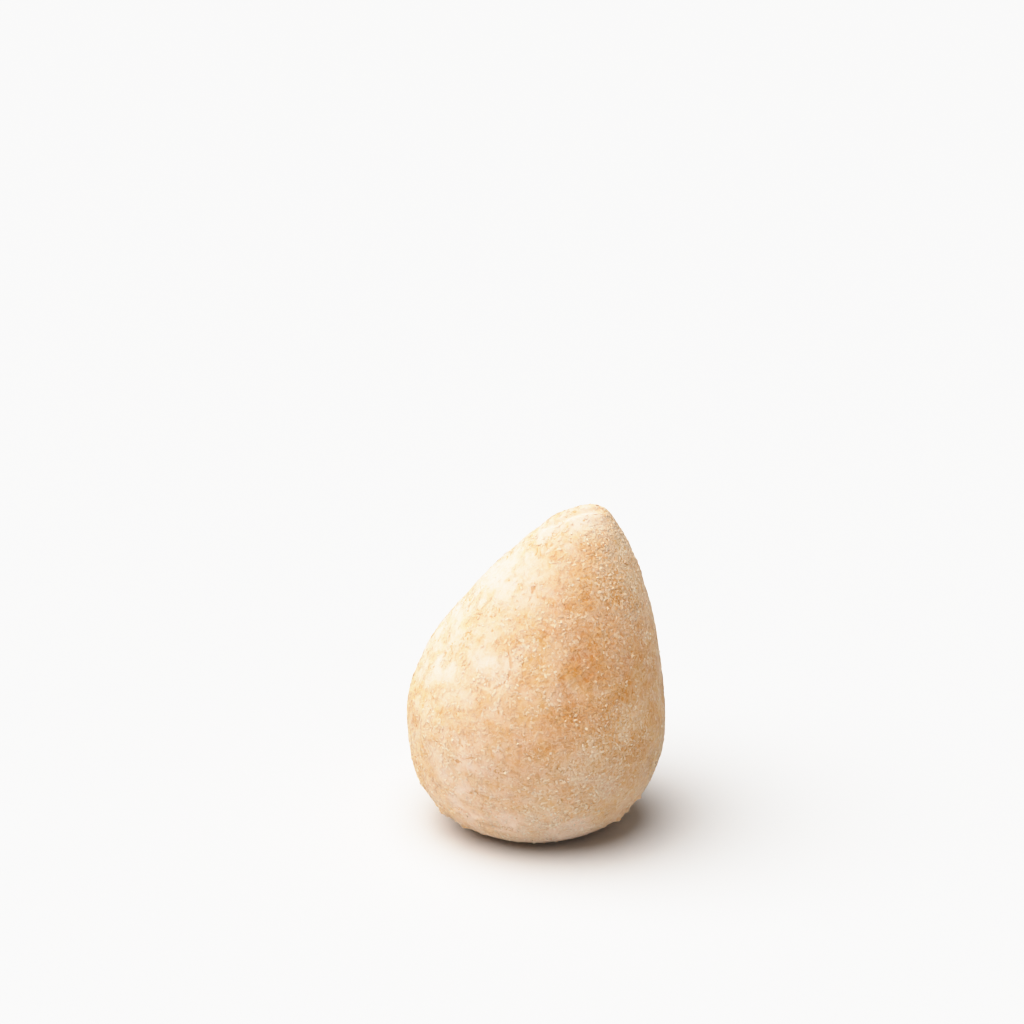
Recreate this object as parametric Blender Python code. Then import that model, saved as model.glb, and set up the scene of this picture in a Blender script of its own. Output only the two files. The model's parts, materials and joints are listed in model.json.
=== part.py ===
"""A raw, breaded coxinha: a teardrop croquette of dough that stands on its flattened foot.

Lengths are in metres and +Z is up. The origin is on the surface that the croquette stands on,
under the middle of the box round it. The front faces -Y, and the tip leans towards +X.
"""

import math

import bmesh
import bpy
from mathutils import Vector, geometry, noise

MM = 0.001

# Driving dimensions
HEIGHT = 78.4 * MM
BELLY_RADIUS = 30.4 * MM
BELLY_HEIGHT = 27.7 * MM
FOOT_RADIUS = 12.0 * MM
TIP_LEAN = 12.1 * MM

# How far each end of a profile curve runs straight before it bends
FOOT_HANDLE = 9.0 * MM
BELLY_HANDLE_DOWN = 17.2 * MM
BELLY_HANDLE_UP = 15.9 * MM
TIP_HANDLE = 11.0 * MM

# The lean starts part of the way up and grows a little faster than evenly
LEAN_START = 33.0 * MM
LEAN_POWER = 1.23

# Facets round the body and from the foot to the tip; above 1, the crowding brings rings closer near the foot
SEGMENTS = 92
RINGS = 62
RING_CROWDING = 1.3
CURVE_STEPS = 200

# Relief of the hand-shaped dough and its crumb coat: size of one bump, and how far it stands out
HAND_DENTS = (26.0 * MM, 0.42 * MM)
COAT_LUMPS = (9.0 * MM, 0.26 * MM)
COAT_CRAGS = (4.6 * MM, 0.24 * MM)
RELIEF_SEED = Vector((3.7, 11.2, 5.9))

# Flakes of the coat that stand off above the foot. Each has its angle from +X in degrees, the height of its
# lower edge, its width and how far it stands out, in millimetres
CRUST_FLAKES = (
    (-27.0, 9.6, 4.4, 0.85),
    (-31.0, 7.0, 3.6, 0.5),
    (-35.0, 4.6, 4.2, 0.85),
    (-62.0, 5.4, 5.5, 0.4),
    (-96.0, 6.2, 7.0, 0.35),
    (-118.0, 9.0, 5.0, 0.35),
    (-139.0, 3.4, 4.0, 0.6),
    (-151.0, 5.6, 4.6, 0.7),
    (-159.0, 11.6, 4.0, 0.4),
    (171.0, 6.4, 5.0, 0.6),
    (146.0, 9.4, 4.2, 0.7),
    (122.0, 5.2, 6.0, 0.6),
    (94.0, 8.0, 5.0, 0.5),
    (66.0, 4.8, 4.6, 0.7),
    (38.0, 10.4, 4.4, 0.6),
    (9.0, 6.0, 5.2, 0.7),
)
FLAKE_EDGE = 0.9 * MM
FLAKE_LENGTH = 5.0 * MM

# The relief dies out towards the foot, which stays flat
RELIEF_FREE_HEIGHT = 0.6 * MM
RELIEF_FULL_HEIGHT = 5.0 * MM
FOOT_CLEARANCE = 0.08 * MM

CRUMB_COLOUR = (0.76, 0.53, 0.31, 1.0)
CRUMB_ROUGHNESS = 0.9


def clear_scene():
    """Removes every object that the file opened with."""
    for obj in list(bpy.data.objects):
        bpy.data.objects.remove(obj)


def smooth_step(value, low, high):
    """0 below low, 1 above high, and an even curve between them."""
    share = min(max((value - low) / (high - low), 0.0), 1.0)
    return share * share * (3.0 - 2.0 * share)


def profile_curve():
    """Points (radius, height) from the rim of the foot over the belly to the tip."""
    foot = Vector((FOOT_RADIUS, 0.0))
    belly = Vector((BELLY_RADIUS, BELLY_HEIGHT))
    tip = Vector((0.0, HEIGHT))
    lower = geometry.interpolate_bezier(
        foot,
        foot + Vector((FOOT_HANDLE, 0.0)),
        belly - Vector((0.0, BELLY_HANDLE_DOWN)),
        belly,
        CURVE_STEPS,
    )
    upper = geometry.interpolate_bezier(
        belly,
        belly + Vector((0.0, BELLY_HANDLE_UP)),
        tip + Vector((TIP_HANDLE, 0.0)),
        tip,
        CURVE_STEPS,
    )
    return lower + upper[1:]


def spaced_along(points, count):
    """The same line with count points along it, both ends among them, at distances that grow upwards."""
    lengths = [0.0]
    for before, after in zip(points, points[1:]):
        lengths.append(lengths[-1] + (after - before).length)
    spaced = []
    piece = 0
    for index in range(count):
        wanted = lengths[-1] * (index / (count - 1)) ** RING_CROWDING
        while piece < len(points) - 2 and lengths[piece + 1] < wanted:
            piece += 1
        share = (wanted - lengths[piece]) / (lengths[piece + 1] - lengths[piece])
        spaced.append(points[piece].lerp(points[piece + 1], share))
    return spaced


def lean_at(height):
    """How far the body's middle stands towards +X at this height."""
    share = max(height - LEAN_START, 0.0) / (HEIGHT - LEAN_START)
    return TIP_LEAN * share**LEAN_POWER


def ring_points(radius, height):
    """The corners of one level ring of the body."""
    middle = lean_at(height)
    points = []
    for index in range(SEGMENTS):
        angle = math.tau * index / SEGMENTS
        x = middle + radius * math.cos(angle)
        points.append(Vector((x, radius * math.sin(angle), height)))
    return points


def smooth_body():
    """The closed teardrop with no relief, as a bmesh: a flat foot, rings, and a point at the tip."""
    body = bmesh.new()
    stations = spaced_along(profile_curve(), RINGS + 1)
    rings = []
    for radius, height in stations[:-1]:
        rings.append([body.verts.new(point) for point in ring_points(radius, height)])
    tip = body.verts.new(Vector((lean_at(HEIGHT), 0.0, HEIGHT)))
    body.faces.new(reversed(rings[0]))
    for lower, upper in zip(rings, rings[1:]):
        for index in range(SEGMENTS):
            after = (index + 1) % SEGMENTS
            body.faces.new((lower[index], lower[after], upper[after], upper[index]))
    for index in range(SEGMENTS):
        body.faces.new((rings[-1][index], rings[-1][(index + 1) % SEGMENTS], tip))
    body.normal_update()
    return body


def flakes_at(point):
    """How far the flakes at the coat's lower edge stand out at this point."""
    reach = 0.0
    for angle, edge, width, height in CRUST_FLAKES:
        turn = math.remainder(math.atan2(point.y, point.x) - math.radians(angle), math.tau)
        across = abs(turn) * math.hypot(point.x, point.y)
        above = point.z - edge * MM
        shape = smooth_step(above, 0.0, FLAKE_EDGE) * (1.0 - smooth_step(above, FLAKE_EDGE, FLAKE_LENGTH))
        shape *= 1.0 - smooth_step(across, 0.15 * width * MM, 0.5 * width * MM)
        reach = max(reach, height * MM * shape)
    return reach


def relief_at(point):
    """How far the surface stands out from the smooth body at this point."""
    dent_size, dent_depth = HAND_DENTS
    lump_size, lump_depth = COAT_LUMPS
    crag_size, crag_depth = COAT_CRAGS
    dents = noise.noise(point / dent_size + RELIEF_SEED)
    lumps = noise.noise(point / lump_size - RELIEF_SEED)
    crags = abs(noise.noise(point / crag_size + 2.0 * RELIEF_SEED))
    return dent_depth * dents + lump_depth * lumps - crag_depth * crags + flakes_at(point)


def shape_relief(body):
    """Moves each corner along its normal by the relief there, and keeps the foot flat."""
    moves = []
    for vert in body.verts:
        share = smooth_step(vert.co.z, RELIEF_FREE_HEIGHT, RELIEF_FULL_HEIGHT)
        moves.append(vert.normal * (relief_at(vert.co) * share))
    for vert, move in zip(body.verts, moves):
        stands_on_floor = vert.co.z == 0.0
        vert.co += move
        if not stands_on_floor:
            vert.co.z = max(vert.co.z, FOOT_CLEARANCE)


def centre_over_origin(body):
    """Slides the body level, so that the origin is under the middle of the box round it."""
    for axis in (0, 1):
        values = [vert.co[axis] for vert in body.verts]
        middle = (min(values) + max(values)) / 2.0
        for vert in body.verts:
            vert.co[axis] -= middle


def crumb_material():
    """The pale toasted crumb coat."""
    material = bpy.data.materials.new("crumb_coat")
    material.use_nodes = True
    shader = material.node_tree.nodes["Principled BSDF"]
    shader.inputs["Base Color"].default_value = CRUMB_COLOUR
    shader.inputs["Roughness"].default_value = CRUMB_ROUGHNESS
    shader.inputs["Metallic"].default_value = 0.0
    return material


def make_coxinha():
    """The croquette, one solid."""
    body = smooth_body()
    shape_relief(body)
    centre_over_origin(body)
    mesh = bpy.data.meshes.new("coxinha")
    body.to_mesh(mesh)
    body.free()
    mesh.materials.append(crumb_material())
    mesh.shade_smooth()
    mesh.set_sharp_from_angle(angle=math.radians(50.0))
    coxinha = bpy.data.objects.new("coxinha", mesh)
    bpy.context.scene.collection.objects.link(coxinha)
    return coxinha


clear_scene()
make_coxinha()
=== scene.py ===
"""The looks of a raw coxinha: its crumb-coated dough, the loose crumbs and frost on it, and a studio.

Lengths are in metres and +Z is up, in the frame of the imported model. The front faces -Y, and the tip
leans towards +X.
"""

import json
import logging
import math
from dataclasses import dataclass, field
from enum import Enum
from typing import Any, Mapping, Optional, Sequence, Union

import bpy
from mathutils import Euler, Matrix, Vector
from mathutils.bvhtree import BVHTree

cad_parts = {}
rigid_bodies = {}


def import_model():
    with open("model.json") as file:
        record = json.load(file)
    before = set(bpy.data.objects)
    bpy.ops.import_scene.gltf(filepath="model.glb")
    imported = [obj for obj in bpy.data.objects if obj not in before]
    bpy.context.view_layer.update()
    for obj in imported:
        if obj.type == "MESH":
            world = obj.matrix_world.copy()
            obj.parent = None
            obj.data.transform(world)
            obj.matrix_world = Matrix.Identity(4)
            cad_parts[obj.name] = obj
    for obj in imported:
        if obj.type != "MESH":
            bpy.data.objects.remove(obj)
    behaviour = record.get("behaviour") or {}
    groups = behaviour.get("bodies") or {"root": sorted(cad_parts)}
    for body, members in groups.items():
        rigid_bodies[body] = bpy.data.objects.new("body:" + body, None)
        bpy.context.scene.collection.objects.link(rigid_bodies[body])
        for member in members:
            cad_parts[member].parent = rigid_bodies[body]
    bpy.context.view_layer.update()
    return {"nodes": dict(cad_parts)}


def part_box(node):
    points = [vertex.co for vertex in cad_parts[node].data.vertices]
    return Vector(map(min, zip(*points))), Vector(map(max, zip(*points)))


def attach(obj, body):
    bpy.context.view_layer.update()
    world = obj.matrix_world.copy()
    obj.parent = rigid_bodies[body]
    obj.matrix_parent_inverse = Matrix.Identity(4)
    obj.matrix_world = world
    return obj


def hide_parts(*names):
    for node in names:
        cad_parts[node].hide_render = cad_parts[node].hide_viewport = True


LOG = logging.getLogger("coxinha")

MM = 0.001
NODE = "coxinha"
BODY = "root"

Colour = tuple[float, float, float]
Place = tuple[float, float, float]
Socket = bpy.types.NodeSocket
Value = Union[float, str, Sequence[float], Socket, bpy.types.ID]

# Attributes that the meshes carry: how high the relief is, where a place was before the relief moved it,
# which way it faced then, and the shade of one crumb
RELIEF = "relief"
REST = "rest"
FACING = "facing"
TONE = "tone"


class CrumbShape(Enum):
    """The forms that the small pieces of the coat have."""

    CHIP = "chip"
    CURL = "curl"
    GRAIN = "grain"


class PatchKind(Enum):
    """What a patch of the coat has more of than the coat round it."""

    # Toasting, and painted shade on the right side, away from the light
    TOAST_AND_PAINTED_SHADE = "toast_and_painted_shade"
    # Frost, and painted light on the upper left flank, which faces the light
    VEIL_AND_PAINTED_LIGHT = "veil_and_painted_light"
    SPECKLE = "speckle"


def deselect_all() -> None:
    """Leaves nothing selected, so that an operator acts on new pieces alone."""
    if bpy.context.mode != "OBJECT":
        bpy.ops.object.mode_set(mode="OBJECT")
    bpy.ops.object.select_all(action="DESELECT")


def make_active(piece: bpy.types.Object) -> None:
    """Selects one piece alone and makes it the active one.

    Args:
        piece: The object.
    """
    deselect_all()
    piece.select_set(True)
    bpy.context.view_layer.objects.active = piece


def apply_modifiers(piece: bpy.types.Object) -> None:
    """Applies every modifier of a piece, first to last.

    Args:
        piece: The object.
    """
    make_active(piece)
    for name in [modifier.name for modifier in piece.modifiers]:
        bpy.ops.object.modifier_apply(modifier=name)


def copy_of(piece: bpy.types.Object, name: str) -> bpy.types.Object:
    """Copies a piece with a mesh of its own.

    Args:
        piece: The object to copy.
        name: The copy's name, and its mesh's.

    Returns:
        The copy, linked to the scene.
    """
    mesh = piece.data.copy()
    mesh.name = name
    copy = bpy.data.objects.new(name, mesh)
    bpy.context.scene.collection.objects.link(copy)
    return copy


def triangles(piece: bpy.types.Object) -> int:
    """Counts a piece's triangles."""
    return sum(len(face.vertices) - 2 for face in piece.data.polygons)


def dress(piece: bpy.types.Object, material: bpy.types.Material) -> None:
    """Gives a piece its finish, and hangs it under the body that it belongs to.

    Args:
        piece: The object.
        material: Its finish.
    """
    piece.data.materials.clear()
    piece.data.materials.append(material)
    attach(piece, BODY)
    make_active(piece)


def with_alpha(colour: Value) -> Value:
    """Gives a plain colour its fourth number, and leaves a socket as it is.

    Args:
        colour: Red, green and blue, or a socket.

    Returns:
        Four numbers, or the socket.
    """
    if isinstance(colour, Socket):
        return colour
    return (*colour, 1.0)


class NodeBench:
    """Adds nodes to one tree, for shaders and for geometry alike, and links them."""

    def __init__(self, tree: bpy.types.NodeTree) -> None:
        """Keeps the tree that the nodes go into."""
        self.tree = tree

    def add(
        self, kind: str, inputs: Optional[Mapping[Union[int, str], Value]] = None, **settings: Any
    ) -> bpy.types.Node:
        """Adds one node.

        Args:
            kind: The node's type.
            inputs: What goes into its inputs, by name or by number: a socket to link, or a value.
            settings: The node's own settings.

        Returns:
            The node.
        """
        node = self.tree.nodes.new(kind)
        for name, value in settings.items():
            setattr(node, name, value)
        for key, value in (inputs or {}).items():
            if isinstance(value, Socket):
                self.tree.links.new(value, node.inputs[key])
            else:
                node.inputs[key].default_value = value
        return node

    def math(self, operation: str, *values: Value, clamp: bool = False) -> Socket:
        """Gives the result of one sum on numbers."""
        inputs = dict(enumerate(values))
        return self.add("ShaderNodeMath", inputs, operation=operation, use_clamp=clamp).outputs[0]

    def vector(self, operation: str, *values: Value) -> Socket:
        """Gives the vector that one sum on vectors comes to."""
        return self.add("ShaderNodeVectorMath", dict(enumerate(values)), operation=operation).outputs[0]

    def measure(self, operation: str, first: Value, second: Value) -> Socket:
        """Gives the number that one sum on two vectors comes to."""
        node = self.add("ShaderNodeVectorMath", {0: first, 1: second}, operation=operation)
        return node.outputs["Value"]

    def distance(self, place: Value, centre: Value) -> Socket:
        """Gives how far a place is from a centre."""
        return self.measure("DISTANCE", place, centre)

    def off_line(self, place: Value, path: Sequence[Place]) -> Socket:
        """Gives how far a place is from a line.

        Args:
            place: The coordinates.
            path: The places that the line runs through. One place alone stands for itself.

        Returns:
            The socket with the distance.
        """
        nearest = self.distance(place, path[0])
        for start, end in zip(path, path[1:]):
            step = Vector(end) - Vector(start)
            ahead = self.vector("SUBTRACT", place, start)
            along = self.measure("DOT_PRODUCT", ahead, step / step.length_squared)
            share = self.math("ADD", along, 0.0, clamp=True)
            beside = self.vector("MULTIPLY_ADD", share, step, start)
            nearest = self.math("MINIMUM", nearest, self.distance(place, beside))
        return nearest

    def remap(
        self, value: Value, low: float, high: float, to_low: float = 0.0, to_high: float = 1.0
    ) -> Socket:
        """Stretches a value from one range to another, with an eased middle and flat ends.

        Args:
            value: The value.
            low: Where the range starts.
            high: Where it ends; below low, the result runs the other way.
            to_low: The result at low.
            to_high: The result at high.

        Returns:
            The socket with the result.
        """
        inputs = {0: value, 1: low, 2: high, 3: to_low, 4: to_high}
        return self.add("ShaderNodeMapRange", inputs, interpolation_type="SMOOTHSTEP").outputs[0]

    def mix(self, share: Value, low: Value, high: Value, blend: str = "MIX") -> Socket:
        """Blends two colours.

        Args:
            share: How much of high there is.
            low: The colour at 0, as a socket or as red, green and blue.
            high: The colour at 1.
            blend: The way they are blended.

        Returns:
            The socket with the blended colour.
        """
        # Factor, A and B, by number because each type of value has an A and a B of its own
        inputs = {0: share, 6: with_alpha(low), 7: with_alpha(high)}
        return self.add("ShaderNodeMix", inputs, data_type="RGBA", blend_type=blend).outputs[2]

    def noise(
        self,
        place: Value,
        size: float,
        detail: float = 2.0,
        roughness: float = 0.5,
        distortion: float = 0.0,
        seed: float = 0.0,
    ) -> Socket:
        """Gives soft noise from 0 to 1.

        Args:
            place: The coordinates.
            size: The size of one bump.
            detail: How many finer layers there are.
            roughness: How strong each finer layer is.
            distortion: How far the pattern is twisted.
            seed: Picks one of many like patterns.

        Returns:
            The socket with the noise.
        """
        moved = self.vector("ADD", place, (seed * 0.37, seed * -0.53, seed * 0.71)) if seed else place
        inputs = {
            "Vector": moved,
            "Scale": 1.0 / size,
            "Detail": detail,
            "Roughness": roughness,
            "Distortion": distortion,
        }
        return self.add("ShaderNodeTexNoise", inputs).outputs[0]

    def strands(self, place: Value, size: float, width: float, distortion: float, seed: float) -> Socket:
        """Gives thin curly lines far from each other, 1 along a line and 0 beside it.

        Args:
            place: The coordinates.
            size: How far apart the lines run, about.
            width: How wide a line is, as a share of the noise's range.
            distortion: How curly they are.
            seed: Picks one of many like patterns.

        Returns:
            The socket with the lines.
        """
        wave = self.noise(place, size, detail=1.0, distortion=distortion, seed=seed)
        off_line = self.math("ABSOLUTE", self.math("SUBTRACT", wave, 0.5))
        return self.remap(off_line, width, 0.0)

    def worms(self, place: Value, size: float, width: float, seed: float) -> Socket:
        """Gives short curly strands that lie over and beside each other.

        Args:
            place: The coordinates.
            size: How far apart the strands of the closest set run, about.
            width: How wide a strand is, as a share of the noise's range.
            seed: Picks one of many like patterns.

        Returns:
            The socket with the strands, 1 along a strand and 0 beside it.
        """
        total = self.math("ADD", 0.0, 0.0)
        for turn in range(3):
            wider = size * (1.0 + 0.25 * turn)
            line = self.strands(place, wider, width, distortion=1.1, seed=seed + 3.3 * turn)
            gaps = self.noise(place, 0.6 * size, detail=1.0, seed=seed + 2.1 * turn)
            broken = self.remap(gaps, low=0.42, high=0.54)
            total = self.math("MAXIMUM", total, self.math("MULTIPLY", line, broken))
        return total

    def cells(self, place: Value, size: float, seed: float = 0.0) -> bpy.types.Node:
        """Gives a cell pattern, with each cell's distance and its own colour."""
        moved = self.vector("ADD", place, (seed, seed * 0.5, -seed)) if seed else place
        return self.add("ShaderNodeTexVoronoi", {"Vector": moved, "Scale": 1.0 / size})

    def cracks(self, place: Value) -> Socket:
        """Gives the short cracks in the crust, in small clusters: 1 in a crack and 0 beside it.

        Args:
            place: The coordinates.

        Returns:
            The socket with the cracks.
        """
        line = self.strands(place, size=4.6 * MM, width=0.045, distortion=1.9, seed=3.9)
        clusters = self.noise(place, size=6.0 * MM, detail=1.0, seed=12.5)
        here = self.remap(clusters, low=0.54, high=0.62)
        gaps = self.noise(place, size=1.6 * MM, detail=1.0, seed=2.8)
        broken = self.remap(gaps, low=0.44, high=0.52)
        return self.math("MULTIPLY", self.math("MULTIPLY", line, here), broken)

    def keep(self, geometry: Value, name: str, value: Value, kind: str, domain: str = "POINT") -> Socket:
        """Keeps a value as an attribute of the geometry.

        Args:
            geometry: The geometry so far.
            name: The attribute's name.
            value: What it keeps.
            kind: What type of value that is.
            domain: What has a value each: the corners, or the copies.

        Returns:
            The socket with the geometry.
        """
        inputs = {"Geometry": geometry, "Name": name, "Value": value}
        kept = self.add("GeometryNodeStoreNamedAttribute", inputs, data_type=kind, domain=domain)
        return kept.outputs[0]


def new_group(name: str, outputs: Sequence[str]) -> NodeBench:
    """Starts a shader group that takes a place and puts out values.

    Args:
        name: The group's name.
        outputs: The names of its outputs.

    Returns:
        A bench with the group's tree.
    """
    tree = bpy.data.node_groups.new(name, "ShaderNodeTree")
    tree.interface.new_socket("Place", in_out="INPUT", socket_type="NodeSocketVector")
    for output in outputs:
        tree.interface.new_socket(output, in_out="OUTPUT", socket_type="NodeSocketFloat")
    return NodeBench(tree)


def new_modifier_tree(name: str) -> NodeBench:
    """Starts a tree of geometry nodes for a modifier.

    Args:
        name: The tree's name.

    Returns:
        A bench with the tree.
    """
    tree = bpy.data.node_groups.new(name, "GeometryNodeTree")
    tree.is_modifier = True
    for way in ("INPUT", "OUTPUT"):
        tree.interface.new_socket("Geometry", in_out=way, socket_type="NodeSocketGeometry")
    return NodeBench(tree)


def new_material(name: str) -> tuple[bpy.types.Material, NodeBench, bpy.types.Node]:
    """Starts a material, with a bench for its nodes.

    Args:
        name: The material's name.

    Returns:
        The material, the bench and the shader.
    """
    material = bpy.data.materials.new(name)
    material.use_nodes = True
    return material, NodeBench(material.node_tree), material.node_tree.nodes["Principled BSDF"]


@dataclass(frozen=True)
class Patch:
    """One soft patch on the coat that has more of something than what is round it."""

    place: Place
    radius: float
    strength: float


def patch(x: float, y: float, z: float, radius: float, strength: float) -> Patch:
    """Makes a patch from millimetres."""
    return Patch((x * MM, y * MM, z * MM), radius * MM, strength)


# On the front as the photograph shows them, and a few on the back
PATCHES = {
    PatchKind.TOAST_AND_PAINTED_SHADE: (
        # Partly toasting, partly painted shade: the broad patch and those on the right darken and warm the
        # side that faces away from the light
        patch(21, -16, 44, 42, 0.56),
        patch(23.7, -12.6, 50.2, 14, 0.4),
        patch(14.4, -20.5, 52, 12, 0.45),
        patch(9, -23.2, 50.3, 6, 0.5),
        patch(20.6, -18, 46.7, 6, 0.5),
        patch(9.8, -18.1, 60.5, 7, 0.15),
        patch(11.5, -25, 42, 14, 0.45),
        patch(5.9, -28.6, 36.4, 7, 0.5),
        patch(-0.9, -30.5, 28.8, 9, 0.2),
        patch(-15.9, -26, 29.3, 6, 0.25),
        patch(-28.6, -9.7, 29.8, 5, 0.35),
        patch(1, -30, 26, 13, 0.12),
        patch(20, -16, 57, 13, 0.3),
        patch(-8, 24, 44, 18, 0.6),
        patch(20, 20, 24, 14, 0.5),
    ),
    PatchKind.VEIL_AND_PAINTED_LIGHT: (
        # Partly frost, partly painted light: the broad patches on the upper left pale the flank that faces
        # the light, and the one just behind the tip paints a pale rim highlight there
        patch(-19, -8, 50, 28, 0.68),
        patch(-25, -12, 34, 20, 0.12),
        patch(-8, -8, 66, 20, 0.5),
        patch(0, 6, 70, 16, 0.5),
        patch(-8.4, -20.4, 50.9, 13, 0.25),
        patch(0.7, -15.4, 63.6, 10, 0.25),
        patch(-17, -24, 36, 12, 0.35),
        patch(2, -6, 76, 11, 0.65),
        patch(11, -3, 77, 8, 0.7),
        patch(7, -11, 70, 9, 0.35),
        patch(-10, -23, 44, 13, 0.25),
        patch(1, -27, 44, 10, 0.15),
        patch(-19, -23, 24, 13, 0.6),
        patch(-8, -29, 29, 14, 0.35),
        patch(-15, -24, 12, 15, 0.4),
        patch(0, -20, 4, 32, 0.42),
        patch(10, 18, 62, 16, 0.6),
    ),
    PatchKind.SPECKLE: (
        patch(15, -5, 75, 9, 0.7),
        patch(20, -8, 67, 13, 1.0),
        patch(18, -14, 60, 13, 0.65),
        patch(6, -22, 53, 13, 0.2),
        patch(22, -15, 48, 15, 0.2),
        patch(15.5, -24.8, 36.8, 12, 0.25),
        patch(18, -23, 32, 15, 0.5),
        patch(13, -27, 22, 12, 0.5),
        patch(3, -29, 34, 18, 0.1),
        patch(-8, -23.5, 46, 9, 0.4),
        patch(2, -24, 9, 18, 0.3),
        patch(-16, 20, 34, 18, 0.7),
    ),
}


@dataclass(frozen=True)
class Mark:
    """A fold, crack, pit or ridge in the coat, or a hollow or swelling of the dough.

    It runs through the places of its path. A depth below 0 is how far it stands out. The last number says
    how far it is darkened towards the hollow colour: painted shade in the tip's fold, the toasted dough
    that shows on the spots, and a darker line in the other creases.
    """

    path: tuple[Place, ...]
    radius: float
    depth: float
    darkening: float


def mark(radius: float, depth: float, darkening: float, *path: Place) -> Mark:
    """Makes a mark from millimetres."""
    return Mark(tuple((x * MM, y * MM, z * MM) for x, y, z in path), radius * MM, depth * MM, darkening)


# The dough's own hollows and swellings: a finger mark on the front, the fuller left side and the tip
HOLLOWS = (
    mark(12, 0.3, 0, (-4, -20, 56)),
    mark(17, -0.85, 0, (-25, -7, 13)),
    mark(12, -0.6, 0, (-24, 3, 46)),
    mark(7, -0.8, 0, (3, 0, 76)),
    mark(5, -0.4, 0, (16, 0, 77)),
)

# The fold where the tip was pinched shut, with the lip below it, then the creases low on the front
CREASES = (
    # Its darkening is painted shade on the side of the fold that faces away from the light
    mark(
        1.3, 0.4, 0.15,
        (2.6, -1.9, 73.8), (4.5, -2.8, 74.9), (6.8, -2.8, 76.2), (11.3, -2.4, 77.7), (14.1, -1.2, 77.8),
    ),
    mark(1.9, -0.22, 0, (7, -5, 75.3), (8.4, -3.9, 76.5), (11.8, -3.8, 77.2), (14.5, -3.7, 76.6)),
    mark(0.6, -0.25, 0, (11, -7.6, 74.2), (12, -7, 74.8), (13.1, -6.6, 74.9)),
    mark(0.9, 0.2, 0.4, (-14.1, -25.7, 18), (-12, -26.4, 17), (-9, -27.4, 16.7)),
    mark(1.1, 0.25, 0.3, (-13.5, -21.5, 8.5), (-10.7, -22.7, 8.3), (-8.9, -23.1, 8)),
    mark(1, -0.35, 0, (-19.6, -16.2, 8.6), (-17.6, -20.6, 11.4), (-15.8, -21.2, 10.1)),
    mark(0.7, 0.15, 0.4, (8.3, -27, 14.5), (11.8, -26, 15.4)),
    mark(0.5, 0.1, 0.5, (-6.5, -21.5, 50.6), (-5.9, -23, 48.5), (-6.5, -24.6, 45.3), (-9, -24.5, 43.5)),
    mark(0.5, 0.1, 0.5, (-9, -24.5, 43.5), (-10.4, -24.3, 42.7), (-11.1, -23.2, 44), (-12.2, -21.9, 45.1)),
    mark(0.5, 0.1, 0.45, (-20.1, -10.2, 47.3), (-19.4, -10.5, 48.1)),
    mark(0.5, 0.1, 0.45, (-17.3, -13, 49.4), (-15.2, -15.9, 49.3)),
    mark(0.5, 0.1, 0.5, (-23.1, -18.8, 33.9), (-21.9, -19.5, 35.2), (-21.4, -19.3, 36.4)),
    mark(0.6, 0.1, 0.5, (-19.6, -22.7, 32.4)),
    mark(0.4, 0.05, 0.3, (-22.6, -20.5, 28.7), (-26.2, -15.6, 26.5)),
    mark(0.5, 0.1, 0.5, (-18.2, -24.2, 30.8), (-17.5, -24.8, 29.8)),
    mark(0.4, 0.1, 0.35, (2.4, -8.4, 70.7), (2.7, -8.3, 71)),
    mark(0.4, 0.1, 0.35, (3.2, -8, 71.4), (3.5, -7.9, 71.7)),
    mark(0.5, 0.1, 0.45, (3.8, -9.3, 70.8), (4.3, -9, 71.2)),
    mark(0.4, 0.1, 0.35, (5, -9.1, 71.5), (5.3, -8.9, 71.8)),
    mark(0.4, 0.1, 0.35, (6.1, -9, 72), (6.4, -8.8, 72.3)),
)

# Small spots where the coat is thin and the toasted dough shows
SPOTS = (
    mark(2.2, 0.1, 0.8, (8.6, -23.3, 50.4), (11.1, -22, 50.6)),
    mark(1.6, 0.1, 0.6, (15.5, -16.1, 60.2)),
    mark(1.8, 0.1, 0.7, (20.6, -18.1, 46.5), (20.8, -16.5, 48.8)),
    mark(1.6, 0.1, 0.6, (11.1, -24.2, 45.9)),
    mark(1.8, 0.1, 0.5, (-18.2, -24.4, 29.1)),
    mark(2.4, 0.1, 0.5, (4.1, -29.9, 31.6)),
    mark(1.4, 0.1, 0.6, (16.2, -24.9, 33.8)),
    mark(1.8, 0.1, 0.5, (-4.7, -30.1, 24.7)),
    mark(1.2, 0.1, 0.6, (-14, -22.8, 41.6)),
    mark(1.6, 0.1, 0.6, (12.1, -16.6, 62.1), (13.4, -16.2, 61.9)),
    mark(1, 0.15, 0.8, (2.1, -21.4, 55.2)),
    mark(1.1, 0.15, 0.8, (5.4, -25.6, 46.3), (6.1, -26.2, 44.6)),
)


@dataclass(frozen=True)
class Flake:
    """One flake of the crust that stands off at its lower edge.

    Its angle is taken from +X in degrees and its edge's height in millimetres, as are how far up it runs
    and how far it stands out.
    """

    angle: float
    edge: float
    radius: float
    reach: float


# Round the foot, from the front right over the front to the left, then round the back
FLAKES = (
    Flake(-16, 12.7, 1.6, 0.25),
    Flake(-27, 10.2, 1.5, 0.45),
    Flake(-32, 7.3, 1.3, 0.35),
    Flake(-36, 5.2, 1.4, 0.45),
    Flake(-40, 3.4, 1.2, 0.35),
    Flake(-128, 2.6, 1.4, 0.25),
    Flake(-138, 4.0, 1.4, 0.3),
    Flake(-151, 6.7, 1.5, 0.35),
    Flake(-153, 8.3, 1.4, 0.3),
    Flake(-160, 12.8, 1.6, 0.3),
    Flake(171, 6.6, 1.7, 0.25),
    Flake(146, 9.6, 1.5, 0.3),
    Flake(122, 5.4, 1.7, 0.25),
    Flake(94, 8.2, 1.6, 0.25),
    Flake(66, 5.0, 1.4, 0.25),
    Flake(38, 10.6, 1.6, 0.3),
    Flake(9, 6.2, 1.6, 0.3),
)


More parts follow.
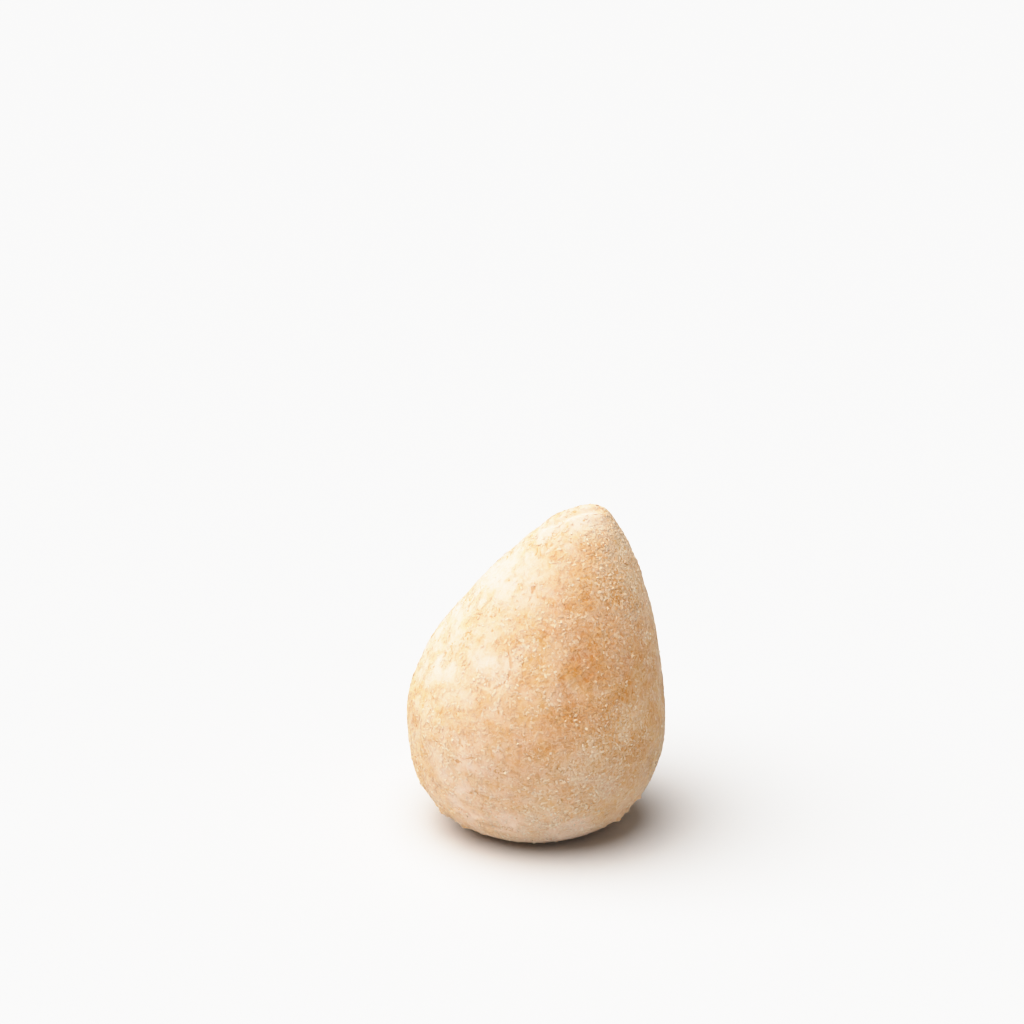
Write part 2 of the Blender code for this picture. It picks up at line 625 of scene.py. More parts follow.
# The seed of each kind's noise, and how much the noise gives at most where there is no patch
NOISE_OF = {
    PatchKind.TOAST_AND_PAINTED_SHADE: (3.1, 0.4),
    PatchKind.VEIL_AND_PAINTED_LIGHT: (8.4, 0.35),
    PatchKind.SPECKLE: (5.2, 0.22),
}


@dataclass(frozen=True)
class CoatMap:
    """Where the coat is toasted, veiled with frost or full of grains, for every finish. The toasting also
    holds painted shade on the side away from the light, and the frost painted light on the upper left.

    Soft noise gives a little of each everywhere, and the patches add to it. The noise of patch_noise
    makes their edges ragged, down to least_of_patch where it is lowest.
    """

    name: str = "coat_map"
    broad: float = 15.0 * MM
    middling: float = 5.0 * MM
    noise_range: tuple[float, float] = (0.4, 0.62)
    patch_noise: tuple[float, float] = (0.3, 0.6)
    least_of_patch: float = 0.5

    def group(self) -> bpy.types.NodeTree:
        """Builds the group once, and gives it back after that.

        Returns:
            The group, with one output for each kind of patch.
        """
        found = bpy.data.node_groups.get(self.name)
        if found is not None:
            return found
        bench = new_group(self.name, [kind.value for kind in PatchKind])
        place = bench.add("NodeGroupInput").outputs["Place"]
        bench.add("NodeGroupOutput", {kind.value: self.field(bench, place, kind) for kind in PatchKind})
        return bench.tree

    def field(self, bench: NodeBench, place: Value, kind: PatchKind) -> Socket:
        """Adds up the noise and the patches of one kind.

        Args:
            bench: Where the nodes go.
            place: The coordinates.
            kind: Which patches to take.

        Returns:
            The socket with the mask, from 0 to 1.
        """
        seed, share = NOISE_OF[kind]
        broad = bench.noise(place, self.broad, detail=2.0, distortion=0.4, seed=seed)
        middling = bench.noise(place, self.middling, detail=3.0, distortion=0.35, seed=seed + 1.7)
        both = bench.math("MULTIPLY_ADD", broad, 0.5, bench.math("MULTIPLY", middling, 0.5))
        total = bench.remap(both, *self.noise_range, 0.0, share)
        edges = bench.remap(middling, *self.patch_noise, self.least_of_patch, 1.0)
        for each in PATCHES[kind]:
            shape = bench.remap(bench.distance(place, each.place), each.radius, 0.0, 0.0, each.strength)
            total = bench.math("ADD", total, bench.math("MULTIPLY", shape, edges), clamp=True)
        return total


@dataclass(frozen=True)
class FineGrain:
    """The finest crumbs, too small to be geometry: curly pale strands, a sandy grain, and small pits."""

    name: str = "fine_grain"
    strand_height: float = 0.6
    sand_height: float = 0.5
    pit_depth: float = 0.9

    def group(self) -> bpy.types.NodeTree:
        """Builds the group once, and gives it back after that.

        Returns:
            The group, with an output for the strands, the sand and the pits, and one for their height.
        """
        found = bpy.data.node_groups.get(self.name)
        if found is not None:
            return found
        bench = new_group(self.name, ("Strand", "Sand", "Pit", "Height"))
        place = bench.add("NodeGroupInput").outputs["Place"]
        strand = bench.worms(place, size=1.5 * MM, width=0.1, seed=2.3)
        sand = bench.noise(place, size=0.42 * MM, detail=2.0, roughness=0.6, seed=4.4)
        pit = bench.math("MAXIMUM", bench.cracks(place), self.dots(bench, place))
        height = bench.math("MULTIPLY", sand, self.sand_height)
        height = bench.math("MULTIPLY_ADD", strand, self.strand_height, height)
        height = bench.math("MULTIPLY_ADD", pit, -self.pit_depth, height)
        bench.add("NodeGroupOutput", {"Strand": strand, "Sand": sand, "Pit": pit, "Height": height})
        return bench.tree

    def dots(self, bench: NodeBench, place: Value) -> Socket:
        """Gives small round pits, a few to a square centimetre.

        Args:
            bench: Where the nodes go.
            place: The coordinates.

        Returns:
            The socket with the pits, 1 in a pit and 0 beside it.
        """
        cells = bench.cells(place, size=2.2 * MM, seed=1.4)
        dot = bench.remap(cells.outputs["Distance"], low=0.16, high=0.06)
        kept = bench.remap(cells.outputs["Color"], low=0.5, high=0.75)
        return bench.math("MULTIPLY", dot, kept)


def place_groups(bench: NodeBench) -> tuple[Mapping[str, Socket], Mapping[str, Socket]]:
    """Places the coat map and the fine grain in a material.

    Args:
        bench: Where the nodes go.

    Returns:
        The coat map's outputs, and the fine grain's.
    """
    place = bench.add("ShaderNodeTexCoord").outputs["Object"]
    coat = bench.add("ShaderNodeGroup", {"Place": place}, node_tree=CoatMap().group())
    grain = bench.add("ShaderNodeGroup", {"Place": place}, node_tree=FineGrain().group())
    return coat.outputs, grain.outputs


# How far the noise moves the edge of a darkened mark in or out
DARKENING_EDGE = 0.8 * MM


def mark_darkening(bench: NodeBench, place: Value, marks: Sequence[Mark]) -> Socket:
    """Gives how far the marks darken a place, 0 beside them, with ragged edges; in the tip's fold this
    darkening is painted shade.

    Args:
        bench: Where the nodes go.
        place: The coordinates.
        marks: The marks to take.

    Returns:
        The socket with the mask, from 0 to 1.
    """
    total = bench.math("ADD", 0.0, 0.0)
    wave = bench.noise(place, size=0.9 * MM, seed=5.5)
    ragged = bench.math("MULTIPLY_ADD", wave, 2.0 * DARKENING_EDGE, -DARKENING_EDGE)
    for each in (each for each in marks if each.darkening > 0.0):
        gap = bench.math("ADD", bench.off_line(place, each.path), ragged)
        darkening = bench.remap(gap, each.radius, 0.0, 0.0, each.darkening)
        total = bench.math("MAXIMUM", total, darkening)
    return total


def link_surface(
    bench: NodeBench, shader: bpy.types.Node, colour: Socket, rough: Socket, bump: Mapping[str, Value]
) -> None:
    """Links what changes over a surface to its shader: its colour, how rough it is and its bump.

    Args:
        bench: Where the nodes go.
        shader: The material's shader.
        colour: The colour.
        rough: How rough the surface is.
        bump: The bump's strength, distance and height.
    """
    normal = bench.add("ShaderNodeBump", bump).outputs["Normal"]
    for name, value in {"Base Color": colour, "Roughness": rough, "Normal": normal}.items():
        bench.tree.links.new(value, shader.inputs[name])


def dry_surface(shader: bpy.types.Node, depth: float = 0.0) -> None:
    """Sets what is the same all over a dry, floury surface: little gloss and a soft sheen.

    Args:
        shader: The material's shader.
        depth: How much of the light goes in and comes out beside it. Crumbs are too thin for that.
    """
    settings = {
        "Specular IOR Level": 0.25,
        "Sheen Weight": 0.18,
        "Sheen Roughness": 0.45,
        "Diffuse Roughness": 0.6,
        "Subsurface Weight": depth,
        "Subsurface Radius": (1.0, 0.9, 0.8),
        "Subsurface Scale": 0.6 * MM,
    }
    for name, value in settings.items():
        shader.inputs[name].default_value = value


@dataclass(frozen=True)
class DoughFinish:
    """The finish of the coat on the dough: darker hollows, cream crumbs, a warm tint and a pale cover.

    The warm tint is toasting, and on the right side, away from the light, painted shade as well. The pale
    cover is frost, and on the upper left, which faces the light, painted light as well. After the colours
    come the shares of the layers that are laid over each other, then how rough the coat is, its bump, and
    how much of the light goes in.
    """

    name: str = "crumb_coat_dough"
    hollow: Colour = (0.65, 0.32, 0.095)
    crumb: Colour = (0.77, 0.45, 0.18)
    cream: Colour = (0.85, 0.60, 0.35)
    # Multiplied in with the toasting, which on the right side is painted shade as well
    warm: Colour = (0.90, 0.62, 0.24)
    white: Colour = (0.90, 0.70, 0.49)
    # The pale cover: frost, and on the upper left painted light as well
    veil_and_painted_light: Colour = (0.925, 0.72, 0.59)
    hollow_share: float = 0.55
    cream_share: float = 0.4
    sand_share: float = 0.15
    strand_shares: tuple[float, float] = (0.5, 0.85)
    pale_cover_shares: tuple[float, float] = (0.85, 0.98)
    pale_on_warm: float = 0.65
    pit_share: float = 0.7
    roughness: tuple[float, float] = (0.92, 0.76)
    bump: float = 0.3
    bump_height: float = 0.12 * MM
    bump_under_veil: float = 0.15
    depth: float = 0.5

    def material(self) -> bpy.types.Material:
        """Builds the material, layer over layer.

        Returns:
            The material of the coat.
        """
        material, bench, shader = new_material(self.name)
        coat, grain = place_groups(bench)
        base = self.crust_colour(bench, coat[PatchKind.TOAST_AND_PAINTED_SHADE.value], grain["Sand"])
        base = self.with_strands(bench, base, coat[PatchKind.SPECKLE.value], grain["Strand"])
        # The pale cover of frost and painted light is thinner where the warm tint is strong
        thinner_on_warm = bench.remap(coat[PatchKind.TOAST_AND_PAINTED_SHADE.value], 0.3, 0.9, 1.0, self.pale_on_warm)
        veil_and_painted_light = bench.math("MULTIPLY", coat[PatchKind.VEIL_AND_PAINTED_LIGHT.value], thinner_on_warm)
        cover = bench.remap(grain["Height"], 0.1, 0.7, *self.pale_cover_shares)
        base = bench.mix(bench.math("MULTIPLY", veil_and_painted_light, cover), base, self.veil_and_painted_light)
        rest = bench.add("ShaderNodeAttribute", attribute_name=REST).outputs["Vector"]
        pitted = bench.math("MULTIPLY", grain["Pit"], self.pit_share)
        # Pits and creases take the hollow colour; in the tip's fold that is painted shade
        base = bench.mix(bench.math("MAXIMUM", pitted, mark_darkening(bench, rest, CREASES)), base, self.hollow)
        rough = bench.remap(veil_and_painted_light, 0.0, 1.0, *self.roughness)
        shown = bench.remap(veil_and_painted_light, 0.0, 0.9, 1.0, self.bump_under_veil)
        height = bench.math("MULTIPLY", grain["Height"], shown)
        bump = {"Strength": self.bump, "Distance": self.bump_height, "Height": height}
        link_surface(bench, shader, base, rough, bump)
        dry_surface(shader, self.depth)
        return material

    def crust_colour(self, bench: NodeBench, toast_and_painted_shade: Value, sand: Value) -> Socket:
        """Colours the crust: darker in its hollows, paler on its heights, warmer where it is toasted, and
        warmer and darker where shade is painted on the side away from the light.

        Args:
            bench: Where the nodes go.
            toast_and_painted_shade: How toasted a place is, and how much shade is painted on it.
            sand: The sandy grain.

        Returns:
            The socket with the colour.
        """
        relief = bench.add("ShaderNodeAttribute", attribute_name=RELIEF).outputs["Fac"]
        rest = bench.add("ShaderNodeAttribute", attribute_name=REST).outputs["Vector"]
        base = bench.mix(bench.remap(relief, 0.5, 0.1, 0.0, self.hollow_share), self.crumb, self.hollow)
        base = bench.mix(bench.remap(relief, 0.5, 0.9, 0.0, self.cream_share), base, self.cream)
        base = bench.mix(bench.remap(sand, 0.4, 0.65, 0.0, self.sand_share), base, self.cream)
        base = bench.mix(mark_darkening(bench, rest, SPOTS), base, self.hollow)
        # The warm tint: toasting, and on the right side painted shade as well
        return bench.mix(toast_and_painted_shade, base, self.warm, "MULTIPLY")

    def with_strands(self, bench: NodeBench, base: Value, speckle: Value, strand: Value) -> Socket:
        """Lays the fine strands over the crust, whiter and clearer where it is full of grains.

        Args:
            bench: Where the nodes go.
            base: The crust's colour.
            speckle: How full of grains a place is.
            strand: Where the strands are.

        Returns:
            The socket with the colour.
        """
        colour = bench.mix(speckle, self.cream, self.white)
        seen = bench.remap(speckle, 0.0, 0.6, *self.strand_shares)
        return bench.mix(bench.math("MULTIPLY", strand, seen), base, colour)


@dataclass(frozen=True)
class CrumbFinish:
    """The finish of one kind of crumb: its colours, how far the warm and frost tints reach it, how rough
    it is.

    The warm tint is toasting, and painted shade on the right side, away from the light. The frost tint is
    frost, and painted light on the upper left, which faces the light.
    """

    name: str
    dark: Colour
    pale: Colour
    warming: float
    frost_and_light_share: float
    rough: float
    # Multiplied in with the toasting, which on the right side is painted shade as well
    warm: Colour = (0.91, 0.63, 0.27)
    # Laid on with the frost cover, which on the upper left is painted light as well
    frost: Colour = (0.92, 0.755, 0.63)
    least_dust: float = 0.6
    least_frost: float = 0.1
    smoother: float = 0.08
    rougher: float = 0.06
    bump: float = 0.4
    bump_height: float = 0.05 * MM

    def material(self) -> bpy.types.Material:
        """Builds the material, with a shade of its own for each crumb.

        Returns:
            The material of this kind of crumb.
        """
        material, bench, shader = new_material(self.name)
        coat, grain = place_groups(bench)
        tone = bench.add("ShaderNodeAttribute", attribute_name=TONE).outputs["Fac"]
        base = bench.mix(tone, self.dark, self.pale)
        warmed = bench.math("MULTIPLY", coat[PatchKind.TOAST_AND_PAINTED_SHADE.value], self.warming)
        base = bench.mix(warmed, base, self.warm, "MULTIPLY")
        dusted = bench.remap(grain["Sand"], 0.35, 0.65, self.least_dust, 1.0)
        frost_and_light_cover = bench.remap(coat[PatchKind.VEIL_AND_PAINTED_LIGHT.value], 0.0, 1.0, self.least_frost, self.frost_and_light_share)
        base = bench.mix(bench.math("MULTIPLY", dusted, frost_and_light_cover), base, self.frost)
        rough = bench.remap(grain["Sand"], 0.3, 0.7, self.rough - self.smoother, self.rough + self.rougher)
        bump = {"Strength": self.bump, "Distance": self.bump_height, "Height": grain["Sand"]}
        link_surface(bench, shader, base, rough, bump)
        dry_surface(shader)
        return material


@dataclass
class DoughBody:
    """The croquette: the hand-shaped dough with the relief of its coat, in place of the plain solid.

    The cuts and levels say how fine its mesh is. Lumps, crust, curls and grit each have the size of one
    bump and how high it is.
    """

    plain: bpy.types.Object
    finish: DoughFinish = field(default_factory=DoughFinish)
    name: str = "coxinha_coat"
    cuts: int = 15
    levels: int = 3
    merge_gap: float = 0.02 * MM
    ease_turns: int = 6
    soften_turns: int = 8
    lumps: tuple[float, float] = (8.0 * MM, 0.26 * MM)
    crust: tuple[float, float] = (2.4 * MM, 0.16 * MM)
    curls: tuple[float, float] = (2.6 * MM, 0.08 * MM)
    grit: tuple[float, float] = (1.4 * MM, 0.12 * MM)
    crack_depth: float = 0.22 * MM
    least_rough: float = 0.6
    least_under_veil: float = 0.3
    least_at_foot: float = 0.25
    foot_fade: tuple[float, float] = (0.8 * MM, 5.0 * MM)
    foot_gap: float = 0.12 * MM
    flake_rise: tuple[float, float] = (-0.2 * MM, 0.25 * MM)
    flake_undercut: float = -0.5

    def build(self) -> bpy.types.Object:
        """Builds the piece, dresses it and puts it in place of the plain solid.

        Returns:
            The finished piece.
        """
        guide = self.merged_guide()
        piece = self.start_form()
        self.follow(piece, guide)
        bpy.data.objects.remove(guide)
        self.raise_relief(piece)
        dress(piece, self.finish.material())
        bpy.ops.object.shade_smooth()
        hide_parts(NODE)
        return piece

    def merged_guide(self) -> bpy.types.Object:
        """Copies the plain solid and joins its loose triangles, for the new mesh to lie on.

        Returns:
            The copy.
        """
        guide = copy_of(self.plain, "dough_guide")
        make_active(guide)
        bpy.ops.object.mode_set(mode="EDIT")
        bpy.ops.mesh.select_all(action="SELECT")
        bpy.ops.mesh.remove_doubles(threshold=self.merge_gap)
        bpy.ops.object.mode_set(mode="OBJECT")
        return guide

    def start_form(self) -> bpy.types.Object:
        """Rounds a cut-up cube into an even ball of four-sided faces, and stretches it to an egg.

        Returns:
            The egg, as long and as wide as the plain solid.
        """
        low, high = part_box(NODE)
        middle, size = (low + high) / 2.0, high - low
        deselect_all()
        bpy.ops.mesh.primitive_cube_add(size=size.x, location=middle)
        piece = bpy.context.object
        piece.name = piece.data.name = self.name
        bpy.ops.object.mode_set(mode="EDIT")
        bpy.ops.mesh.select_all(action="SELECT")
        bpy.ops.mesh.subdivide(number_cuts=self.cuts)
        bpy.ops.transform.tosphere(value=1.0, center_override=middle)
        bpy.ops.transform.resize(value=(1.0, size.y / size.x, size.z / size.x), center_override=middle)
        bpy.ops.object.mode_set(mode="OBJECT")
        bpy.ops.object.transform_apply(location=True, rotation=True, scale=True)
        return piece

    def follow(self, piece: bpy.types.Object, guide: bpy.types.Object) -> None:
        """Lays the egg on the plain solid, evens its faces out and makes them fine.

        Args:
            piece: The egg.
            guide: The merged copy of the plain solid.
        """
        for turn in range(2):
            wrap = piece.modifiers.new(f"wrap_{turn}", "SHRINKWRAP")
            wrap.target = guide
            ease = piece.modifiers.new(f"ease_{turn}", "SMOOTH")
            ease.factor, ease.iterations = 0.5, self.ease_turns
        refine = piece.modifiers.new("refine", "SUBSURF")
        refine.levels = refine.render_levels = self.levels
        settle = piece.modifiers.new("settle", "SHRINKWRAP")
        settle.target = guide
        soften = piece.modifiers.new("soften", "SMOOTH")
        soften.factor, soften.iterations = 0.5, self.soften_turns
        apply_modifiers(piece)

    def raise_relief(self, piece: bpy.types.Object) -> None:
        """Moves the surface in and out along its normal, and keeps how far as an attribute.

        Args:
            piece: The fine mesh that lies on the plain solid.
        """
        bench = new_modifier_tree("coat_relief")
        start = bench.add("NodeGroupInput").outputs[0]
        place = bench.add("GeometryNodeInputPosition").outputs[0]
        normal = bench.add("GeometryNodeInputNormal").outputs[0]
        fine = self.fine_relief(bench, place)
        speckle = CoatMap().field(bench, place, PatchKind.SPECKLE)
        rough = bench.remap(speckle, 0.0, 0.6, self.least_rough, 1.0)
        veil_and_painted_light = CoatMap().field(bench, place, PatchKind.VEIL_AND_PAINTED_LIGHT)
        smooth = bench.remap(veil_and_painted_light, 0.2, 0.9, 1.0, self.least_under_veil)
        shown = bench.math("MULTIPLY", fine, bench.math("MULTIPLY", rough, smooth))
        total = bench.math("ADD", shown, self.broad_relief(bench, place))
        height = bench.add("ShaderNodeSeparateXYZ", {0: place}).outputs["Z"]
        free = bench.remap(height, *self.foot_fade, self.least_at_foot, 1.0)
        pressed = bench.remap(height, *reversed(self.foot_fade), 0.0, self.foot_gap)
        total = bench.math("SUBTRACT", bench.math("MULTIPLY", total, free), pressed)
        reach = self.crust[1] + self.curls[1] + self.grit[1]
        kept = bench.keep(start, REST, place, "FLOAT_VECTOR")
        kept = bench.keep(kept, FACING, normal, "FLOAT_VECTOR")
        kept = bench.keep(kept, RELIEF, bench.remap(fine, -0.5 * reach, 0.8 * reach), "FLOAT")
        offset = bench.add("ShaderNodeVectorMath", {0: normal, "Scale": total}, operation="SCALE")
        moved = bench.add("GeometryNodeSetPosition", {"Geometry": kept, "Offset": offset.outputs[0]})
        bench.add("NodeGroupOutput", {0: moved.outputs[0]})
        piece.modifiers.new("relief", "NODES").node_group = bench.tree
        apply_modifiers(piece)

    def fine_relief(self, bench: NodeBench, place: Value) -> Socket:
        """Adds up the crust's relief, with its curls, its grit and its cracks.

        Args:
            bench: Where the nodes go.
            place: The coordinates.

        Returns:
            The socket with how far the surface stands out.
        """
        crust = bench.noise(place, self.crust[0], detail=3.0, roughness=0.6, seed=6.1)
        curls = bench.strands(place, self.curls[0], width=0.07, distortion=1.4, seed=7.7)
        grit = bench.remap(bench.cells(place, self.grit[0], seed=2.0).outputs["Distance"], 0.6, 0.0)
        total = bench.math("MULTIPLY_ADD", curls, self.curls[1], self.centred(bench, crust, self.crust[1]))
        total = bench.math("MULTIPLY_ADD", grit, self.grit[1], total)
        return bench.math("MULTIPLY_ADD", bench.cracks(place), -self.crack_depth, total)

    def broad_relief(self, bench: NodeBench, place: Value) -> Socket:
        """Adds up the dough's own lumps, the marks on it and the flakes round the foot.

        Args:
            bench: Where the nodes go.
            place: The coordinates.

        Returns:
            The socket with how far the surface stands out.
        """
        lumps = bench.noise(place, self.lumps[0], detail=2.0, seed=1.3)
        total = self.centred(bench, lumps, self.lumps[1])
        for each in HOLLOWS + CREASES + SPOTS:
            depth = bench.remap(bench.off_line(place, each.path), each.radius, 0.0, 0.0, each.depth)
            total = bench.math("SUBTRACT", total, depth)
        height = bench.add("ShaderNodeSeparateXYZ", {0: place}).outputs["Z"]
        solid = BVHTree.FromObject(self.plain, bpy.context.evaluated_depsgraph_get())
        for flake in FLAKES:
            edge = self.edge_of(flake, solid)
            low, high = (edge.z + rise for rise in self.flake_rise)
            above = bench.remap(height, low, high, self.flake_undercut, 1.0)
            off_edge = bench.distance(place, edge)
            shape = bench.remap(off_edge, flake.radius * MM, 0.0, 0.0, flake.reach * MM)
            total = bench.math("MULTIPLY_ADD", above, shape, total)
        return total

    def edge_of(self, flake: Flake, solid: BVHTree) -> Vector:
        """Finds the place on the plain solid where the middle of a flake's lower edge is.

        Args:
            flake: The flake.
            solid: The plain solid.

        Returns:
            The place.
        """
        angle = math.radians(flake.angle)
        way = Vector((math.cos(angle), math.sin(angle), 0.0))
        return solid.ray_cast(way + Vector((0.0, 0.0, flake.edge * MM)), -way)[0]

    def centred(self, bench: NodeBench, wave: Socket, height: float) -> Socket:
        """Turns noise from 0 to 1 into relief round 0, of that height."""
        return bench.math("MULTIPLY", bench.math("SUBTRACT", wave, 0.5), 2.0 * height)


@dataclass
class CrumbLayer:
    """One kind of small pieces, strewn over the coat and sunk in it.

    They gather where the patches that they follow are, with a share of fewest elsewhere and of
    under_veil where the frost, with the painted light on the upper left, is thickest. Sink is how deep a
    piece lies, as a share of its length, and tilt is how far it leans at most, in radians.
    """

    name: str
    shape: CrumbShape
    size: float
    spacing: float
    finish: CrumbFinish
    seed: int
    scales: tuple[float, float] = (0.6, 1.3)
    sink: float = 0.25
    tilt: float = 0.5
    follows: PatchKind = PatchKind.SPECKLE
    fewest: float = 0.3
    under_veil: float = 0.12
    on_spots: float = 0.1
    steep: tuple[float, float] = (0.85, 0.96)
    crowding: float = 4.0
    forms: int = 8
    lowest: float = 0.02 * MM

    def build(self, coat: bpy.types.Object) -> bpy.types.Object:
        """Strews the pieces over the coat.

        Args:
            coat: The finished coat that they lie on.

        Returns:
            All the pieces of this kind as one mesh.
        """
        tray = bpy.data.collections.new(f"{self.name}_forms")
        for index in range(self.forms):
            form = self.model_form(self.seed * 10 + index)
            for owner in list(form.users_collection):
                owner.objects.unlink(form)
            tray.objects.link(form)
        piece = copy_of(coat, self.name)
        piece.modifiers.new("strew", "NODES").node_group = self.strewing(tray)
        apply_modifiers(piece)
        for form in list(tray.objects):
            bpy.data.objects.remove(form)
        bpy.data.collections.remove(tray)
        dress(piece, self.finish.material())
        bpy.ops.object.shade_flat()
        return piece

    def model_form(self, seed: int) -> bpy.types.Object:
        """Models one small piece at the origin, a millimetre long, ready to be copied.

        Args:
            seed: Picks one of many like forms.

        Returns:
            The form.
        """
        deselect_all()
        makers = {
            CrumbShape.CHIP: self.model_chip,
            CrumbShape.CURL: self.model_curl,
            CrumbShape.GRAIN: self.model_grain,
        }
        makers[self.shape](seed)
        form = bpy.context.object
        bpy.ops.object.mode_set(mode="OBJECT")
        form.name = f"{self.name}_form_{seed}"
        return form

    def model_chip(self, seed: int) -> None:
        """Knocks a small ball into a rough, flattened lump.

        Args:
            seed: Picks one of many like forms.
        """
        bpy.ops.mesh.primitive_ico_sphere_add(subdivisions=1, radius=0.5 * MM)
        self.knock(0.14 * MM, seed)
        bpy.ops.transform.resize(value=(1.0, 0.78, 0.62))

    def model_curl(self, seed: int) -> None:
        """Draws a thin strand out step by step, bending it as it goes, and some of them back again.

        Args:
            seed: Picks one of many like forms.
        """
        growth = (1.6, 1.12, 0.96, 0.6)
        bend = math.radians(14.0 + 12.0 * (seed % 4))
        upright = (math.pi / 2, 0.0, math.pi / 2)
        bpy.ops.mesh.primitive_circle_add(
            vertices=3, radius=0.165 * MM, fill_type="NGON", rotation=upright
        )
        bpy.ops.object.transform_apply(location=True, rotation=True, scale=True)
        bpy.ops.object.mode_set(mode="EDIT")
        bpy.ops.mesh.select_all(action="SELECT")
        end, heading = Vector((0.0, 0.0, 0.0)), 0.0
        for step, girth in enumerate(growth):
            move = Vector((math.cos(heading), math.sin(heading), 0.0)) * (MM / len(growth))
            bpy.ops.mesh.extrude_region_move(TRANSFORM_OT_translate={"value": move})
            end += move
            turn = -bend if seed % 3 == 0 and step > len(growth) // 2 else bend
            heading += turn
            bpy.ops.transform.rotate(value=-turn, orient_axis="Z", center_override=end)
            bpy.ops.transform.resize(value=(girth, girth, girth), center_override=end)
        bpy.ops.mesh.select_all(action="SELECT")
        bpy.ops.mesh.normals_make_consistent(inside=False)
        bpy.ops.transform.translate(value=-0.5 * end)
        self.knock(0.02 * MM, seed)
        bpy.ops.transform.resize(value=(1.0, 1.0, 0.1))

    def model_grain(self, seed: int) -> None:
        """Knocks a small block out of true, and draws it out long.

        Args:
            seed: Picks one of many like forms.
        """
        width = 0.6 + 0.12 * (seed % 4)
        bpy.ops.mesh.primitive_cube_add(size=0.62 * MM)
        self.knock(0.17 * MM, seed)
        bpy.ops.transform.resize(value=(1.3, width, 0.42))

    def knock(self, offset: float, seed: int) -> None:
        """Moves every corner of the active form by up to the offset, and leaves all of them selected.

        Args:
            offset: How far at most.
            seed: Picks one of many like forms.
        """
        bpy.ops.object.mode_set(mode="EDIT")
        bpy.ops.mesh.select_all(action="SELECT")
        bpy.ops.transform.vertex_random(offset=offset, uniform=1.0, normal=0.0, seed=seed)

    def strewing(self, tray: bpy.types.Collection) -> bpy.types.NodeTree:
        """Builds the nodes that strew the forms over the coat and make them one mesh.

        Args:
            tray: The collection with the forms.

        Returns:
            The tree, for a modifier on a copy of the coat.
        """
        bench = new_modifier_tree(f"strew_{self.name}")
        coat = bench.add("NodeGroupInput").outputs[0]
        place = bench.add("GeometryNodeInputPosition").outputs[0]
        density = self.crowding / self.spacing**2
        spread = bench.add(
            "GeometryNodeDistributePointsOnFaces",
            {"Mesh": coat, "Distance Min": self.spacing, "Density Max": density, "Seed": self.seed},
            distribute_method="POISSON",
        )
        bench.tree.links.new(self.gathering(bench, place), spread.inputs["Density Factor"])
        lean_x = self.random(bench, -self.tilt, self.tilt, 0)
        lean_y = self.random(bench, -self.tilt, self.tilt, 1)
        spin = self.random(bench, 0.0, math.tau, 2)
        scale = self.random(bench, self.scales[0] * self.size / MM, self.scales[1] * self.size / MM, 3)
        turn = bench.add("ShaderNodeCombineXYZ", {0: lean_x, 1: lean_y, 2: spin})
        euler = bench.add("FunctionNodeEulerToRotation", {0: turn.outputs[0]}).outputs[0]
        facing = bench.add(
            "FunctionNodeRotateRotation",
            {0: spread.outputs["Rotation"], 1: euler},
            rotation_space="LOCAL",
        ).outputs[0]
        forms = bench.add(
            "GeometryNodeCollectionInfo",
            {"Collection": tray, "Separate Children": True, "Reset Children": True},
        ).outputs[0]
        strewn = bench.add(
            "GeometryNodeInstanceOnPoints",
            {
                "Points": spread.outputs["Points"],
                "Instance": forms,
                "Pick Instance": True,
                "Rotation": facing,
                "Scale": scale,
            },
        ).outputs[0]
        sunk = bench.add(
            "GeometryNodeTranslateInstances",
            {"Instances": strewn, "Translation": (0.0, 0.0, -self.sink * MM), "Local Space": True},
        ).outputs[0]
        tone = self.random(bench, 0.0, 1.0, 4)
        toned = bench.keep(sunk, TONE, tone, "FLOAT", domain="INSTANCE")
        real = bench.add("GeometryNodeRealizeInstances", {0: toned}).outputs[0]
        above_floor = bench.vector("MAXIMUM", place, (-1.0, -1.0, self.lowest))
        kept_up = bench.add("GeometryNodeSetPosition", {"Geometry": real, "Position": above_floor})
        bench.add("NodeGroupOutput", {0: kept_up.outputs[0]})
        return bench.tree

    def gathering(self, bench: NodeBench, place: Value) -> Socket:
        """Works out how many of the pieces stay at a place.

        Args:
            bench: Where the nodes go.
            place: The coordinates.

        Returns:
            The socket with the share, low under the frost and its painted light, on toasted spots and on
            the sides of the relief.
        """
        crowd = bench.remap(CoatMap().field(bench, place, self.follows), 0.0, 1.0, self.fewest, 1.0)
        veil_and_painted_light = CoatMap().field(bench, place, PatchKind.VEIL_AND_PAINTED_LIGHT)
        bare = bench.remap(veil_and_painted_light, 0.35, 1.0, 1.0, self.under_veil)
        off_spots = bench.remap(mark_darkening(bench, place, SPOTS), 0.0, 0.5, 1.0, self.on_spots)
        normal = bench.add("GeometryNodeInputNormal").outputs[0]
        facing = {"Name": FACING}
        before = bench.add("GeometryNodeInputNamedAttribute", facing, data_type="FLOAT_VECTOR").outputs[0]
        level = bench.remap(bench.measure("DOT_PRODUCT", normal, before), *self.steep)
        share = bench.math("MULTIPLY", bench.math("MULTIPLY", crowd, bare), off_spots)
        return bench.math("MULTIPLY", share, level)

    def random(self, bench: NodeBench, low: float, high: float, index: int) -> Socket:
        """Gives each small piece its own number between low and high."""
        # Min, Max and Seed, by number because each type of value has a Min and a Max of its own
        inputs = {2: low, 3: high, 8: self.seed * 100 + index}
        return bench.add("FunctionNodeRandomValue", inputs, data_type="FLOAT").outputs[1]


